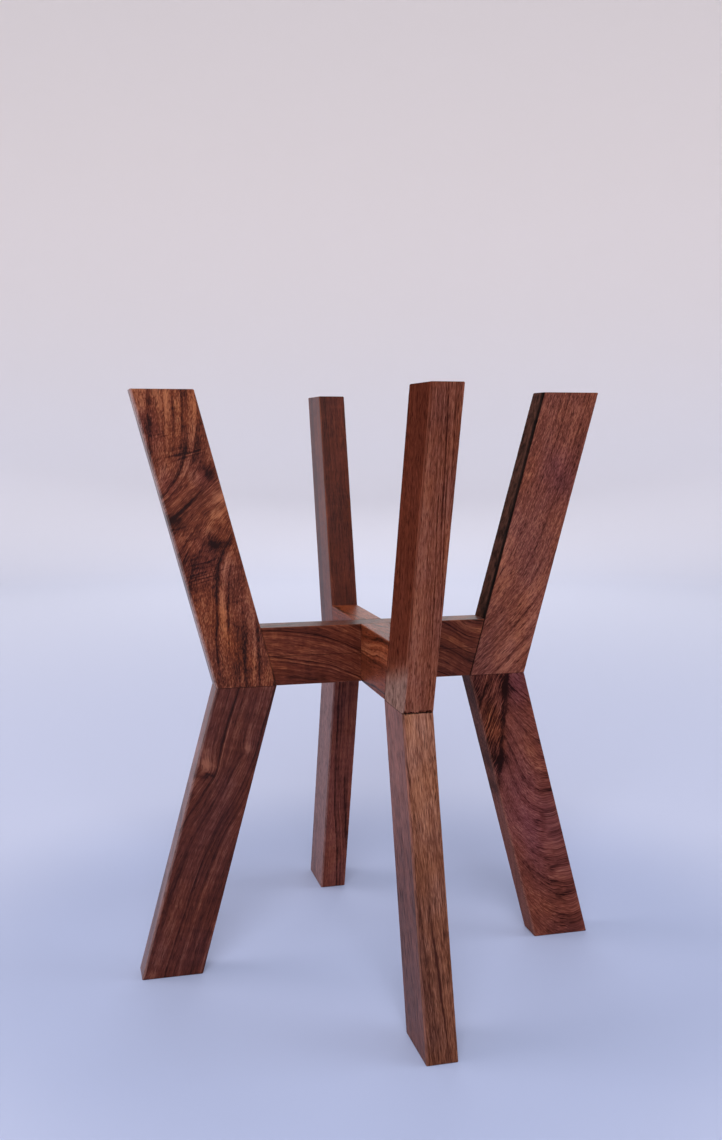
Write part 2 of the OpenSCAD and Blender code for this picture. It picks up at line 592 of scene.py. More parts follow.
def bentRings(tree, axes, look):
    # the ring coordinate: its level lines are the lines of the grain
    u, v, w = axes
    ring = scaleAdd(tree, u, look["across"], multiply(tree, v, look["through"]))
    if look["along"]:
        ring = scaleAdd(tree, w, look["along"], ring)
    if look["arch"]:
        middle, bend, shift, height, softness = look["arch"]
        shifted = scaleAdd(tree, softStep(tree, w, height, softness), shift, middle + shift)
        fromArch = calc(tree, "SUBTRACT", u, shifted)
        ring = scaleAdd(tree, multiply(tree, fromArch, fromArch), bend, ring)
    for shift, height, softness in look["sweeps"]:
        ring = scaleAdd(tree, softStep(tree, w, height, softness), shift, ring)
    for push, knotU, knotW, halfWide, halfTall in look["knots"]:
        offU = scaleAdd(tree, u, 1 / halfWide, -knotU / halfWide)
        offW = scaleAdd(tree, w, 1 / halfTall, -knotW / halfTall)
        fallOff = calc(tree, "EXPONENT", multiply(tree, hypotenuse(tree, offU, offW), -1))
        ring = scaleAdd(tree, fallOff, push, ring)
    slow, quick = look["wander"]
    ring = scaleAdd(tree, walnutCloud(tree, axes, look, "slowWander"), slow, ring)
    return scaleAdd(tree, walnutCloud(tree, axes, look, "quickWander"), quick, ring)


def crotchZone(tree, axes, look):
    # how far a place lies past the dark band of a crotch, and a zone that is 1 past it
    (startU, startW), (endU, endW) = look["crotch"][:2]
    length = math.hypot(endU - startU, endW - startW)
    normalU, normalW = (endW - startW) / length, -(endU - startU) / length
    past = scaleAdd(tree, axes[0], normalU, -startU * normalU - startW * normalW)
    past = scaleAdd(tree, axes[2], normalW, past)
    edge = walnutCloud(tree, axes, look, "crotchEdge")
    past = scaleAdd(tree, edge, crotchFigure["raggedness"], past)
    return past, span(tree, past, -crotchFigure["softness"], crotchFigure["softness"])


def yearRings(tree, axes, look, half, ring):
    # each ring darkens slowly, then ends in a line, and is stronger or fainter than its neighbours
    u, v = axes[:2]
    if look["dive"]:
        ring = scaleAdd(tree, calc(tree, "ADD", v, half[1]), look["dive"], ring)
    fromHeart = calc(tree, "ADD", ring, look["heart"])
    aside = scaleAdd(tree, u, -look["through"], multiply(tree, v, look["across"]))
    radius = hypotenuse(tree, fromHeart, aside)
    uneven = cloudAlong(tree, radius, 3 * look["ringWidth"], look["seed"], 0)
    uneven = multiply(tree, uneven, walnutFinish["unevenYears"])
    year = scaleAdd(tree, radius, 1 / look["ringWidth"], uneven)
    part = calc(tree, "FRACT", year)
    darkening, ending = [span(tree, part, *walnutFinish[limits]) for limits in ("lateWood", "yearEnd")]
    chance = addNode(tree, "ShaderNodeTexWhiteNoise", noise_dimensions="1D")
    plug(tree, chance.inputs["W"], calc(tree, "FLOOR", year))
    strength = calc(tree, "POWER", chance.outputs["Value"], walnutFinish["faintYears"])
    return ring, radius, multiply(tree, multiply(tree, darkening, ending), strength)


def walnutMarks(tree, axes, look, half):
    # what the wood is mixed from: the rings, the streaks, the fine grain, the pores and the crotch
    v, w = axes[1:]
    marks = {}
    ring = bentRings(tree, axes, look)
    if look["crotch"]:
        past, zone = crotchZone(tree, axes, look)
        marks["pastBand"], marks["crotch"] = past, zone
        countAcross, countAlong = crotchFigure["lineDirection"]
        withBand = scaleAdd(tree, w, countAlong, multiply(tree, past, countAcross))
        ring = mixValues(tree, zone, ring, withBand)
    ring, marks["radius"], marks["late"] = yearRings(tree, axes, look, half, ring)
    marks["ring"] = ring
    seed = look["seed"]
    bent = (ring, v, w)
    streakSize = (look["streakWidth"], look["streakWidth"], look["streakLength"])
    marks["streak"] = cloud(tree, bent, streakSize, seed, 3, 0.6)
    grainSize = (look["grainWidth"], look["grainWidth"], look["grainLength"])
    marks["grain"] = cloud(tree, bent, grainSize, seed + 3, 2, 0.6)
    poreSize = (walnutFinish["poreWidth"], walnutFinish["poreWidth"], look["poreLength"])
    marks["pores"] = span(tree, cloud(tree, bent, poreSize, seed + 5), *walnutFinish["poreLimits"])
    return marks


def walnutTone(tree, axes, look, marks):
    # how light the wood is, from 0 to 1
    u, w = axes[0], axes[2]
    bands = cloudAlong(tree, marks["radius"], look["bandWidth"], look["seed"] + 3, 2)
    tone = scaleAdd(tree, bands, look["bands"], 0.5)
    tone = scaleAdd(tree, marks["streak"], look["streaks"], tone)
    tone = scaleAdd(tree, marks["grain"], look["grain"], tone)
    tone = scaleAdd(tree, walnutCloud(tree, axes, look, "curl"), look["curl"], tone)
    tone = scaleAdd(tree, walnutCloud(tree, axes, look, "blotches"), look["blotches"], tone)
    tone = scaleAdd(tree, marks["late"], -look["rings"], tone)
    if look["lines"]:
        unbroken = walnutPatch(tree, axes, look, "lineBreaks")
        for at, halfWide, amount, height, halfTall in look["lines"]:
            line = multiply(tree, hump(tree, marks["ring"], at, halfWide), hump(tree, w, height, halfTall))
            tone = scaleAdd(tree, multiply(tree, line, unbroken), amount, tone)
    if look["blots"]:
        shakeU, shakeW = walnutFinish["blotShake"]
        shakenU = scaleAdd(tree, walnutCloud(tree, axes, look, "blotShakeAcross"), shakeU, u)
        shakenW = scaleAdd(tree, walnutCloud(tree, axes, look, "blotShakeAlong"), shakeW, w)
        for blotU, blotW, halfWide, halfTall, amount in look["blots"]:
            blot = spot(tree, shakenU, shakenW, (blotU, blotW), (halfWide, halfTall))
            tone = scaleAdd(tree, blot, amount, tone)
    if look["wrinkles"]:
        wrinkled = walnutPatch(tree, axes, look, "wrinkles")
        for wrinkleU, wrinkleW, halfWide, halfTall, amount in look["wrinkles"]:
            zone = spot(tree, u, w, (wrinkleU, wrinkleW), (halfWide, halfTall))
            tone = scaleAdd(tree, multiply(tree, zone, wrinkled), -amount, tone)
    # painted shade: one end of the board darker than the other
    if look["shadeGradient"]:
        amount, height, softness = look["shadeGradient"]
        tone = scaleAdd(tree, softStep(tree, w, height, softness), amount, tone)
    if look["crotch"]:
        bandHalf = look["crotch"][2]
        band = hump(tree, marks["pastBand"], bandHalf * 0.4, bandHalf)
        unbroken = walnutPatch(tree, axes, look, "bandBreaks")
        tone = scaleAdd(tree, multiply(tree, band, unbroken), crotchFigure["bandTone"], tone)
        streaks = multiply(tree, marks["crotch"], marks["streak"])
        tone = scaleAdd(tree, streaks, crotchFigure["streakTone"], tone)
        tone = scaleAdd(tree, marks["crotch"], crotchFigure["tone"], tone)
    return tone


def walnutColour(tree, axes, look, half, marks):
    u, v, w = axes
    dark, middle, light = [paint(*tone) for tone in look["tones"]]
    tone = walnutTone(tree, axes, look, marks)
    wood = addRamp(tree, tone, [(0.05, dark), (0.5, middle), (0.95, light)]).outputs[0]
    hueTint = blend(tree, walnutPatch(tree, axes, look, "hue"), *walnutFinish["orangeAndPlum"])
    wood = blend(tree, look["hue"], wood, hueTint, "MULTIPLY")
    for kind, tint in walnutFinish["spotTints"].items():
        for spotU, spotW, halfWide, halfTall in look[kind]:
            zone = spot(tree, u, w, (spotU, spotW), (halfWide, halfTall))
            wood = blend(tree, multiply(tree, zone, walnutFinish["spotAmount"]), wood, tint, "MULTIPLY")
    fibre = span(tree, scaleAdd(tree, marks["grain"], 0.1, tone), 0, 1)
    # painted light: each wash tints one face of a board; the pale ones are painted reflections, the dark
    # one painted shade, and the warm one painted warmer light
    for face, amount, tint, fromHeight, toHeight, slope in look["paintedLightWashes"]:
        side, reach = (u, half[0]) if face[1] == "u" else (v, half[1])
        sign = -1 if face[0] == "-" else 1
        onFace = span(tree, side, sign * (reach - 2.2), sign * (reach - 0.6))
        zone = multiply(tree, onFace, span(tree, scaleAdd(tree, u, -slope, w), fromHeight, toHeight))
        darker, lighter = [dimmed(paint(*tint), factor) for factor in walnutFinish["washStreaks"]]
        wood = blend(tree, multiply(tree, zone, amount), wood, blend(tree, fibre, darker, lighter))
    return blend(tree, multiply(tree, marks["pores"], look["pores"]), wood, dimmed(dark, 0.5))


def addSeamMarks(tree, axes, look, half, along, across, wood):
    # the glue line of the level seam, and the chips torn out along it at the outer edge, painted near
    # black: torn end grain, and painted shade in the gaps of the open seam
    u, w = axes[0], axes[2]
    dark = paint(*look["tones"][0])
    fromSeam = calc(tree, "ABSOLUTE", scaleAdd(tree, w, along.z, multiply(tree, u, across.z)))
    glue = multiply(tree, span(tree, fromSeam, *walnutFinish["glueLine"]), walnutFinish["glueAmount"])
    wood = blend(tree, glue, wood, dimmed(dark, 0.5))
    # painted shade and torn end grain: the chips are painted near black
    if look["seamTear"]:
        ragged = walnutCloud(tree, axes, look, "seamChips")
        tornTo = scaleAdd(tree, ragged, walnutFinish["chipShake"], look["seamTear"])
        chipFrom, chipTo = walnutFinish["chipEdge"]
        torn = calc(tree, "LESS_THAN", fromSeam, tornTo)
        torn = multiply(tree, torn, span(tree, u, half[0] - chipFrom, half[0] - chipTo))
        torn = multiply(tree, torn, walnutFinish["chipAmount"])
        wood = blend(tree, torn, wood, paint(*walnutFinish["chipTone"]))
    return wood


def walnut(name, origin, across, along, half, figure):
    # walnut for one board, whose half sizes across and through it are in mm
    look = dict(walnutFigure, **figure)
    dark, light = paint(*look["tones"][0]), paint(*look["tones"][2])
    material = emptyMaterial(name)
    tree = material.node_tree
    axes = woodAxes(tree, origin, across, along)
    u, v = axes[:2]
    marks = walnutMarks(tree, axes, look, half)
    wood = walnutColour(tree, axes, look, half, marks)
    wood = addSeamMarks(tree, axes, look, half, along, across, wood)

    # end grain drinks the oil and is darker, and the long edges are paler, both from rubbed wear and as a
    # painted highlight
    facing = addNode(tree, "ShaderNodeVectorMath", operation="DOT_PRODUCT")
    plug(tree, facing.inputs[0], addNode(tree, "ShaderNodeNewGeometry").outputs["True Normal"])
    facing.inputs[1].default_value = along
    endGrain = span(tree, calc(tree, "ABSOLUTE", facing.outputs["Value"]), *walnutFinish["endFacing"])
    wood = blend(tree, multiply(tree, endGrain, walnutFinish["endAmount"]), wood, dimmed(dark, 0.8))
    rubFrom, rubTo = walnutFinish["edgeRubAndHighlight"]
    edges = [
        span(tree, calc(tree, "ABSOLUTE", side), reach - rubFrom, reach - rubTo)
        for side, reach in ((u, half[0]), (v, half[1]))
    ]
    rubbedAndHighlit = multiply(tree, multiply(tree, *edges), span(tree, marks["streak"], -1.2, 1.0))
    wood = blend(tree, multiply(tree, rubbedAndHighlit, look["rubAndHighlight"]), wood, dimmed(light, 1.2))
    roughness = scaleAdd(tree, marks["pores"], walnutFinish["poreRoughness"], look["dullness"])
    roughness = scaleAdd(tree, marks["streak"], walnutFinish["streakRoughness"], roughness)
    roughness = scaleAdd(tree, endGrain, walnutFinish["endRoughness"], roughness)
    if look["innerDark"]:
        # the inner edge is nearly black in its cracks and in a painted shade line along it: weathered wood,
        # and painted shade
        crackDark, crackLight = [paint(*tone) for tone in walnutFinish["crackTones"]]
        innerFrom, innerTo = [reach - half[0] for reach in walnutFinish["innerEdge"]]
        inner = multiply(tree, span(tree, u, innerFrom, innerTo), look["innerDark"])
        bareAndShaded = blend(tree, walnutPatch(tree, axes, look, "cracks"), crackDark, crackLight)
        shadeLineFrom, shadeLineTo = [reach - half[1] for reach in walnutFinish["shadeLine"]]
        shadeLine = multiply(tree, span(tree, v, shadeLineFrom, shadeLineTo), walnutFinish["shadeLineAmount"])
        wood = blend(tree, inner, wood, blend(tree, shadeLine, bareAndShaded, crackDark))
        roughness = scaleAdd(tree, inner, walnutFinish["bareRoughness"], roughness)

    relief = scaleAdd(tree, marks["pores"], -1, multiply(tree, marks["grain"], 0.25))
    relief = scaleAdd(tree, marks["late"], -0.15, relief)
    bump = (walnutFinish["bumpStrength"], walnutFinish["bumpDepth"])
    shader = woodShader(tree, wood, roughness, relief, *bump)
    shader.inputs["Specular IOR Level"].default_value = look["gloss"]
    shader.inputs["Coat Weight"].default_value = look["wax"]
    shader.inputs["Coat Roughness"].default_value = walnutFinish["waxRoughness"]
    shader.inputs["Coat IOR"].default_value = walnutFinish["waxIor"]
    return material


legBoard = {  # lengths in metres, waves per metre
    "levelWidth": 0.0476,  # where a leg is cut level
    "reach": 0.188,  # outer edges of the feet and tops
    "rows": 90,  # cuts across a board, all along it
    "arris": 0.0009,  # width of the rounded edges
    "wear": 0.35,  # how unevenly they are worn
    "wearWaves": (900, 45),  # from edge to edge, and along an edge
    "seamArris": 0.0002,
    "tearBoard": "upper_leg_front",  # its seam edge is chipped at the outer face
    "tearHeight": 0.0022,
    "tearDepth": 0.0018,
    "tearShare": (0.75, 0.6),  # how much of that height and depth the largest chip takes
    "tearCuts": 34,
    "tearWaves": (420, 1300),
    "tearMean": 0.45,  # size of an average chip, from 0 to 1
    "tearLeast": 0.08,
    "nickBoard": "upper_leg_right",  # has a nick in an inner edge
    "nickHeight": 0.177,  # above the seam
    "nickReach": 0.0035,
    "nickDepth": 1.6,  # in widths of the rounded edge
    "crumbs": 0.5,  # how rough the rest of that edge is
    "crumbWaves": 160,
}

seamOuter = seamInner + legBoard["levelWidth"]
legSplay = legBoard["reach"] - seamOuter  # how far a leg leans outwards, above and below the seam
upperSlope = math.atan2(legSplay, standHeight - seamHeight)

legFigures = {
    "upper_leg_left": {
        "tones": ((29, 9, 6), (94, 45, 31), (148, 94, 69)),
        "through": 0.3,
        "along": 0.25,
        "sweeps": [(36, 150, 21), (9, 112, 18)],
        "wander": (1.1, 1.1),
        "ringWidth": 5.5,
        "rings": 0.32,
        "bands": 0.16,
        "streaks": 0.14,
        "streakLength": 32,
        "grain": 0.46,
        "grainWidth": 0.65,
        "grainLength": 2.4,
        "blotches": 0.3,
        "curl": 0.07,
        "hue": 1.0,
        "lines": [
            (52, 1.8, -0.75, 146, 10),
            (89, 1.3, -0.48, 178, 20),
            (-18, 1.0, -0.55, 100, 13),
            (-28.5, 0.9, -0.55, 65, 26),
            (-41, 2.6, -0.42, 22, 28),
            (-51, 1.0, -0.40, 22, 30),
            (-19, 0.9, -0.40, 52, 30),
            (99.8, 1.0, -0.42, 222, 18),
            (93, 1.0, -0.40, 216, 22),
            (-23.6, 2.1, 0.42, 74, 30),
            (-38, 1.2, 0.36, 8, 12),
            (-48, 1.4, 0.20, 25, 24),
            (112, 3.0, 0.34, 235, 16),
            (105, 1.6, 0.22, 230, 16),
            (84, 4.0, 0.20, 214, 18),
        ],
        "blots": [
            (-6, 115, 5, 3.2, -0.5),
            (-15, 111, 8, 2, -0.28),
            (20, 141, 6, 5, -0.45),
            (-16, 168, 5, 6, -0.42),
            (17, 211, 4, 6, -0.3),
            (20, 86, 5, 7, -0.4),
            (18, 188, 6, 9, -0.26),
            (10, 104, 13, 8, -0.26),
            (-4, 126, 6, 4, 0.34),
            (-13, 135, 6, 5, 0.42),
            (-20, 147, 5, 5, 0.36),
            (17, 195, 5, 14, 0.30),
            (18, 226, 4, 9, 0.22),
            (-12, 216, 9, 16, 0.16),
            (-11, 6, 5, 14, -0.2),
            (-3, 6, 24, 12, -0.12),
        ],
        "wrinkles": [
            (-6, 187, 13, 4.5, 0.75),
            (-4, 203, 15, 3, 0.5),
            (5, 92, 14, 5, 0.7),
            (2, 104, 13, 6, 0.6),
            (-14, 66, 7, 3, 0.3),
            (16, 128, 8, 6, 0.35),
        ],
        "plum": [(10, 103, 14, 14), (16, 210, 7, 12), (14, 165, 8, 9), (-14, 165, 6, 8)],
        "gold": [(8, 48, 14, 28), (-12, 134, 10, 12), (-10, 216, 11, 18), (-2, 14, 18, 24)],
        # painted reflection: a pale tint over the outer edge face
        "paintedLightWashes": [("+u", 0.42, (160, 138, 134), -20, -10, 0)],
        "rubAndHighlight": 0.15,
        "seed": 4.0,
    },
    "lower_leg_left": {
        "tones": ((34, 11, 8), (77, 37, 30), (125, 79, 65)),
        "through": 0.3,
        "along": 0.06,
        "sweeps": [(6.5, -105, 30)],
        "knots": [(9, 15, -69, 11, 11), (5, -11, -50, 7, 9)],
        "wander": (1.0, 0.5),
        "rings": 0.42,
        "bands": 0.16,
        "bandWidth": 9,
        "streaks": 0.18,
        "streakWidth": 1.2,
        "blotches": 0.06,
        "lines": [
            (13.9, 0.5, 0.36, -42, 34),
            (16.6, 0.9, -0.34, -34, 34),
            (5.3, 1.8, -0.24, -165, 42),
            (-25, 3.0, -0.26, -200, 42),
            (-17.4, 1.2, -0.26, -140, 28),
            (-9.4, 1.0, -0.24, -110, 28),
            (0.9, 0.8, -0.26, -60, 50),
            (3.9, 0.8, -0.22, -110, 50),
            (-29.5, 2.2, 0.16, -208, 22),
        ],
        "blots": [
            (18, -60, 5, 8, 0.26),
            (14, -67, 5, 4, 0.40),
            (-12, -47, 3, 4, 0.34),
            (11, -74, 3, 1.6, -0.5),
            (16, -76, 6, 1.6, -0.3),
        ],
        # painted reflection: a pale tint over the outer edge face
        "paintedLightWashes": [("+u", 0.45, (146, 114, 108), 20, 10, 0)],
        "rubAndHighlight": 0.08,
        "seed": 9.0,
    },
    "upper_leg_front": {
        "tones": ((55, 25, 18), (108, 61, 47), (144, 94, 75)),
        "across": 0.5,
        "through": 0.95,
        "along": 0.045,
        "wander": (0.8, 0.2),
        "ringWidth": 2.6,
        "rings": 0.2,
        "bands": 0.14,
        "bandWidth": 7,
        "streaks": 0.26,
        "streakWidth": 1.1,
        "grain": 0.42,
        "grainWidth": 0.55,
        "grainLength": 6,
        "pores": 0.9,
        "blotches": 0.05,
        "curl": 0.03,
        "lines": [
            (22.6, 0.5, -0.70, 180, 60),
            (24.6, 0.4, -0.55, 130, 70),
            (27.5, 0.6, -0.45, 200, 40),
            (19.6, 0.4, -0.34, 120, 90),
            (26.0, 0.4, -0.36, 60, 50),
        ],
        "shadeGradient": (-0.05, 190, 25),
        # painted shade and reflection: a dark red-brown tint over the upper side face, and a pale painted
        # reflection on it lower down
        "paintedLightWashes": [("-v", 0.9, (83, 38, 26), 20, 44, 0.57), ("-v", 0.7, (132, 108, 100), 34, 14, 0.57)],
        "wax": 0.0,
        "gloss": 0.0,
        "dullness": 0.55,
        "seamTear": 0.45,
        "seed": 15.0,
    },
    "lower_leg_front": {
        "tones": ((52, 24, 17), (109, 68, 52), (158, 113, 92)),
        "across": 0.45,
        "through": 0.95,
        "along": 0.057,
        "wander": (0.9, 0.5),
        "rings": 0.22,
        "bands": 0.08,
        "bandWidth": 8,
        "streaks": 0.17,
        "streakWidth": 1.1,
        "streakLength": 42,
        "grain": 0.46,
        "grainWidth": 0.55,
        "grainLength": 8,
        "pores": 0.8,
        "poreLength": 14,
        "curl": 0.03,
        "shadeGradient": (0.16, -80, 35),
        "lines": [
            (1.3, 0.6, -0.75, -188, 36),
            (-5.5, 0.5, -0.22, -190, 50),
            (-2.6, 1.2, 0.16, -180, 50),
            (-1.4, 0.6, -0.45, -35, 40),
            (19.0, 1.6, -0.28, -60, 60),
            (8.6, 2.6, 0.22, -125, 26),
        ],
        # painted reflection: a greyer tint over the side face
        "paintedLightWashes": [("-v", 0.85, (108, 68, 62), -260, -250, 0)],
        "seamTear": 0.0001,
        "wax": 0.15,
        "seed": 21.0,
    },
    "upper_leg_right": {
        "tones": ((46, 20, 16), (104, 58, 48), (152, 98, 78)),
        "through": 0.3,
        "along": -0.05,
        "sweeps": [(-43, 10, 75)],
        "wander": (1.4, 0.5),
        "ringWidth": 2.7,
        "rings": 0.27,
        "bands": 0.10,
        "streaks": 0.20,
        "streakWidth": 1.2,
        "streakLength": 22,
        "grain": 0.40,
        "grainWidth": 0.65,
        "grainLength": 3,
        "pores": 0.8,
        "curl": 0.03,
        "blotches": 0.07,
        "lines": [
            (-19, 1.0, -0.40, 52, 30),
            (-1.3, 1.0, -0.42, 22, 20),
            (-32, 1.1, -0.22, 92, 20),
            (-9.8, 2.2, 0.26, 38, 20),
            (-24.4, 2.0, 0.20, 70, 20),
            (4.2, 2.0, 0.20, 15, 16),
            (-52.5, 1.6, -0.16, 190, 45),
            (-36, 1.2, -0.2, 190, 40),
        ],
        "blots": [
            (12, 166, 14, 16, -0.10),
            (-18, 95, 5, 34, 0.2),
            (-17, 164, 3, 2, 0.25),
            (14, 70, 9, 50, 0.12),
            (2, 22, 9, 24, 0.11),
        ],
        "plum": [(10, 172, 18, 20)],
        "innerDark": 1.0,
        "rubAndHighlight": 0.15,
        "wax": 0.0,
        "seed": 27.0,
    },
    "lower_leg_right": {
        "tones": ((29, 13, 12), (101, 54, 48), (144, 94, 80)),
        "across": 0.0,
        "through": 0.1,
        "along": 1.0,
        "dive": 2.6,
        "arch": (18, -0.0275, 12, -85, 35),
        "heart": 400,
        "wander": (3.0, 1.2),
        "ringWidth": 4.6,
        "rings": 0.28,
        "bands": 0.08,
        "bandWidth": 20,
        "streaks": 0.15,
        "streakWidth": 1.3,
        "streakLength": 20,
        "grain": 0.40,
        "grainWidth": 0.65,
        "grainLength": 3,
        "lines": [
            (-196, 1.6, -0.32, -190, 30),
            (-175, 2.0, -0.18, -170, 30),
            (-206, 3, -0.16, -205, 30),
            (-130, 1.4, -0.2, -125, 30),
        ],
        "blots": [
            (5, -14, 4, 9, -0.3),
            (-18, -70, 8, 6, -0.5),
            (-20, -54, 6, 7, -0.14),
            (-20, -10, 10, 14, -0.15),
            (12, -204, 8, 3, -0.25),
            (9, -175, 7, 3, -0.25),
            (6, -134, 5, 4, -0.2),
            (-14, -205, 8, 14, 0.06),
            (0, -130, 16, 26, 0.10),
            (2, -200, 14, 14, -0.07),
            (10, -226, 12, 12, -0.2),
            (-3, -44, 5, 8, -0.15),
        ],
        "crotch": ((5, -15), (-14, -72), 1.9),
        "plum": [(14, -14, 8, 16), (-2, -130, 16, 34)],
        "gold": [(-14, -40, 10, 26), (-14, -36, 9, 20), (14, -70, 8, 26), (-8, -212, 12, 16)],
        # painted light: a warmer tint over the inner edge face
        "paintedLightWashes": [("-u", 0.7, (117, 76, 67), -260, -250, 0)],
        "rubAndHighlight": 0.08,
        "wax": 0.12,
        "gloss": 0.0,
        "seed": 33.0,
    },
    "upper_leg_back": {"seed": 39.0},
    "lower_leg_back": {
        "tones": ((42, 18, 15), (107, 57, 47), (144, 90, 72)),
        "across": 0.6,
        "through": 0.8,
        "sweeps": [(-4, -160, 40)],
        "wander": (0.9, 0.5),
        "bands": 0.14,
        "bandWidth": 8,
        "lines": [(-20, 1.8, -0.36, -160, 45)],
        # painted reflection: a pale tint over the side face
        "paintedLightWashes": [("+v", 0.85, (124, 92, 88), 20, 10, 0)],
        "wax": 0.12,
        "seed": 45.0,
    },
}


def intoLeg(step):
    # out of a rail and into its leg, square to the slanted face where they meet
    return outwardAt(step) * math.cos(upperSlope) - Vector((0, 0, math.sin(upperSlope)))


def tearSeamEdge(board, half):
    # small chips broken out of the seam edge of the outer face
    height, depth = legBoard["tearHeight"], legBoard["tearDepth"]
    bpy.ops.mesh.select_all(action="SELECT")
    bpy.ops.mesh.bisect(plane_co=(0, 0, seamHeight + height), plane_no=(0, 0, 1))
    pick(board, "faces", lambda face: max(vert.co.z for vert in face.verts) < seamHeight + height + near)
    bpy.ops.mesh.bisect(plane_co=(seamOuter - depth, 0, 0), plane_no=(1, 0, 0))

    def runsAcross(edge):
        middle = middleOf(edge)
        isAcross = abs(directionOf(edge).y) > 0.99 and edge.calc_length() > half
        return isAcross and middle.z < seamHeight + height + near and middle.x > seamOuter - depth - near

    pick(board, "edges", runsAcross)
    bpy.ops.mesh.subdivide(number_cuts=legBoard["tearCuts"])
    bpy.ops.mesh.select_all(action="DESELECT")
    shape = bmesh.from_edit_mesh(board.data)
    coarse, fine = legBoard["tearWaves"]
    shareHigh, shareDeep = legBoard["tearShare"]
    for vert in shape.verts:
        isEdge = vert.co.z < seamHeight + height / 2 and vert.co.x > seamOuter - depth / 2
        if isEdge and abs(vert.co.y) < half - 1.2 * legBoard["arris"]:
            chip = noise.noise(Vector((vert.co.y * coarse, 0.4, 1.7)))
            chip += 0.5 * noise.noise(Vector((vert.co.y * fine, 5.2, 0)))
            chip = min(1, max(legBoard["tearLeast"], legBoard["tearMean"] + chip))
            vert.co.z += shareHigh * height * chip
            vert.co.x -= shareDeep * depth * chip
    bmesh.update_edit_mesh(board.data)


def wearLongEdges(board, step, isNicked, rise):
    # the rounding of a long edge grows and shrinks along it
    half = boardThickness / 2
    wornReach = 1.5 * legBoard["arris"]
    across, lengthways = legBoard["wearWaves"]
    for vert in board.data.vertices:
        along = abs(vert.co.z - seamHeight)
        shift = legSplay * along / rise
        edgeX = shift + (seamInner if vert.co.x - shift < (seamInner + seamOuter) / 2 else seamOuter)
        edgeY = math.copysign(half, vert.co.y)
        offX, offY = vert.co.x - edgeX, vert.co.y - edgeY
        if abs(offX) < wornReach and abs(offY) < wornReach and wornReach < along < rise - wornReach:
            place = Vector((edgeX * across, edgeY * across, along * lengthways + 10 * step))
            worn = noise.noise(place) * legBoard["wear"]
            if isNicked and edgeY < 0 and edgeX - shift == seamInner:
                fromNick = abs(along - legBoard["nickHeight"]) / legBoard["nickReach"]
                worn += legBoard["nickDepth"] * max(0, 1 - fromNick)
                crumbs = noise.noise(Vector((7, 3, along * legBoard["crumbWaves"])))
                worn += legBoard["crumbs"] * max(0, crumbs)
            vert.co.x = edgeX + offX * (1 + worn)
            vert.co.y = edgeY + offY * (1 + worn)


def makeLegBoard(step, isUpper):
    # modelled on the +X side, then turned to its own side of the stand
    side = sides[step]
    node = ("upper_leg_" if isUpper else "lower_leg_") + side
    half = boardThickness / 2
    farEnd = standHeight if isUpper else 0
    rise = abs(farEnd - seamHeight)
    bottom, top = min(seamHeight, farEnd), max(seamHeight, farEnd)
    board = addBlock(node + "_board", (seamInner, -half, bottom), (seamOuter, half, top))
    pick(board, "verts", lambda vert: abs(vert.co.z - farEnd) < near)
    bpy.ops.transform.translate(value=(legSplay, 0, 0))
    pick(board, "edges", lambda edge: abs(directionOf(edge).z) > 0.5)
    bpy.ops.mesh.subdivide(number_cuts=legBoard["rows"])

    def isSharp(edge):
        # the long edges and those of the far end, but not those at the seam
        middle = middleOf(edge)
        squareX = middle.x - legSplay * abs(middle.z - seamHeight) / rise
        onSide = min(abs(squareX - seamInner), abs(squareX - seamOuter)) < near
        onFace = abs(abs(middle.y) - half) < near
        if abs(directionOf(edge).z) > 0.5:
            return onSide and onFace
        return abs(middle.z - farEnd) < near and (onSide or onFace)

    pick(board, "edges", isSharp)
    bpy.ops.mesh.bevel(offset=legBoard["arris"], segments=3, profile=0.5, affect="EDGES")
    pick(board, "edges", lambda edge: abs(middleOf(edge).z - seamHeight) < near)
    bpy.ops.mesh.bevel(offset=legBoard["seamArris"], segments=1, affect="EDGES")
    if node == legBoard["tearBoard"]:
        tearSeamEdge(board, half)
    bpy.ops.object.mode_set(mode="OBJECT")
    wearLongEdges(board, step, node == legBoard["nickBoard"], rise)
    turnToSide(board, step)
    for row in ("outer", "inner"):
        cutAway(board, boreFor(f"seam_dowel_{side}_{row}", Vector((0, 0, 1))))
    if isUpper:
        for row in ("lower", "upper"):
            cutAway(board, boreFor(f"rail_dowel_{side}_{row}", intoLeg(step)))

    slope = math.atan2(legSplay, rise) * (1 if isUpper else -1)
    outward = outwardAt(step)
    alongBoard = outward * math.sin(slope) + Vector((0, 0, math.cos(slope)))
    acrossBoard = outward * math.cos(slope) - Vector((0, 0, math.sin(slope)))
    origin = outward * (seamInner + seamOuter) / 2 + Vector((0, 0, seamHeight))
    halfSize = (legBoard["levelWidth"] * math.cos(slope) * 500, half * 1000)  # in mm
    wood = walnut(node + "_walnut", origin, acrossBoard, alongBoard, halfSize, legFigures[node])
    finishBoard(board, node, wood)


for step in range(4):
    makeLegBoard(step, True)
    makeLegBoard(step, False)
print("leg boards made")


crossRail = {
    "arris": 0.0008,  # width of the rounded edges
    "lapFit": 0.0001,  # room at each cheek of the half lap
    "rows": 40,  # cuts across a rail, all along it
}

railFigures = {
    "cross_rail_left_right": {
        "tones": ((20, 5, 3), (85, 40, 29), (140, 84, 59)),
        "along": 0.08,
        "sweeps": [(12, -15, 28), (8, 68, 14)],
        "wander": (2.0, 0.8),
        "ringWidth": 3.6,
        "bands": 0.18,
        "streakWidth": 1.3,
        "blots": [(-10, 62, 9, 14, 0.12)],
        "wax": 0.15,
        "seed": 51.0,
    },
    "cross_rail_front_back": {
        "tones": ((26, 7, 4), (121, 58, 35), (176, 108, 72)),
        "along": 0.05,
        "wander": (2.5, 1.0),
        "ringWidth": 3.6,
        "bands": 0.2,
        "streakWidth": 1.2,
        "wax": 0.15,
        "seed": 57.0,
    },
}


